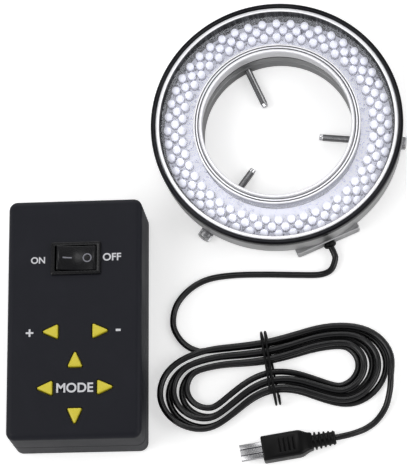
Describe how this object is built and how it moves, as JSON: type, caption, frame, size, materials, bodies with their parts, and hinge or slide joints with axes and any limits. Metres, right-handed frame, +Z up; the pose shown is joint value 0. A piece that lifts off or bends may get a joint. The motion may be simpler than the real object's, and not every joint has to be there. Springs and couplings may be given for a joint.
{
  "type": "microscope ring light",
  "caption": "Round lamp ring that clamps round a microscope objective, with a hand-held control box and a corded plug.",
  "frame": {"origin": "middle of the ring's bore, on the surface that the ring, the box and the cord all lie on", "axes": "+Z up, out of the lit face of the ring; +Y along the control box, towards its sockets"},
  "size_m": [0.1634, 0.1926, 0.0332],
  "materials": {
    "satin_aluminium": "satin turned aluminium",
    "polished_metal": "bright polished metal",
    "black_anodised": "black anodised, satin",
    "clear_cover": "clear smooth plastic",
    "lamp_white": "white board with domed lavender-white lamps",
    "screw_steel": "bright steel",
    "cord_black": "glossy black cord and mouldings",
    "case_black": "matt near-black moulded plastic",
    "switch_black": "glossy black moulded plastic",
    "button_yellow": "matt yellow moulded plastic",
    "board_green": "green circuit board"
  },
  "bodies": {
    "ring_light": {"ring_housing": "satin_aluminium", "clamp_collar": "satin_aluminium", "cable_block": "satin_aluminium", "bore_lip": "polished_metal", "usb_socket": "polished_metal", "plug_tip": "polished_metal", "bezel_hoop": "black_anodised", "lamp_cover": "clear_cover", "lamp_board": "lamp_white", "case_screw_1": "screw_steel", "case_screw_2": "screw_steel", "case_screw_3": "screw_steel", "case_screw_4": "screw_steel", "cord_grommet": "cord_black", "cord_hank": "cord_black", "cord_to_ring": "cord_black", "cord_to_plug": "cord_black", "plug_relief": "cord_black", "plug_body": "cord_black", "twist_tie": "cord_black", "front_case": "case_black", "back_case": "case_black", "socket_panel": "case_black", "switch_body": "switch_black", "power_jack": "switch_black", "control_board": "board_green"},
    "thumbscrew_1": {"thumbscrew_1": "screw_steel"},
    "thumbscrew_2": {"thumbscrew_2": "screw_steel"},
    "thumbscrew_3": {"thumbscrew_3": "screw_steel"},
    "rocker": {"rocker": "switch_black"},
    "button_plus": {"button_plus": "button_yellow"},
    "button_minus": {"button_minus": "button_yellow"},
    "button_mode_up": {"button_mode_up": "button_yellow"},
    "button_mode_down": {"button_mode_down": "button_yellow"},
    "button_mode_left": {"button_mode_left": "button_yellow"},
    "button_mode_right": {"button_mode_right": "button_yellow"}
  },
  "joints": [
    {"name": "thumbscrew_1_slide", "type": "slide", "parent": "ring_light", "child": "thumbscrew_1", "axis": [-0.4067, 0.9135, 0], "range_m": [-0.0027, 0.0175]},
    {"name": "thumbscrew_2_slide", "type": "slide", "parent": "ring_light", "child": "thumbscrew_2", "axis": [-0.5878, -0.809, 0], "range_m": [-0.0077, 0.0125]},
    {"name": "thumbscrew_3_slide", "type": "slide", "parent": "ring_light", "child": "thumbscrew_3", "axis": [0.9945, -0.1045, 0], "range_m": [-0.0062, 0.014]},
    {"name": "rocker_hinge", "type": "hinge", "parent": "ring_light", "child": "rocker", "pos_m": [-0.0819, -0.0592, 0.0295], "axis": [0, -1, 0], "range_deg": [0, 14]},
    {"name": "button_plus_press", "type": "slide", "parent": "ring_light", "child": "button_plus", "axis": [0, 0, -1], "range_m": [0, 0.00025], "stiffness_N_per_m": 400},
    {"name": "button_minus_press", "type": "slide", "parent": "ring_light", "child": "button_minus", "axis": [0, 0, -1], "range_m": [0, 0.00025], "stiffness_N_per_m": 400},
    {"name": "button_mode_up_press", "type": "slide", "parent": "ring_light", "child": "button_mode_up", "axis": [0, 0, -1], "range_m": [0, 0.00025], "stiffness_N_per_m": 400},
    {"name": "button_mode_down_press", "type": "slide", "parent": "ring_light", "child": "button_mode_down", "axis": [0, 0, -1], "range_m": [0, 0.00025], "stiffness_N_per_m": 400},
    {"name": "button_mode_left_press", "type": "slide", "parent": "ring_light", "child": "button_mode_left", "axis": [0, 0, -1], "range_m": [0, 0.00025], "stiffness_N_per_m": 400},
    {"name": "button_mode_right_press", "type": "slide", "parent": "ring_light", "child": "button_mode_right", "axis": [0, 0, -1], "range_m": [0, 0.00025], "stiffness_N_per_m": 400}
  ]
}
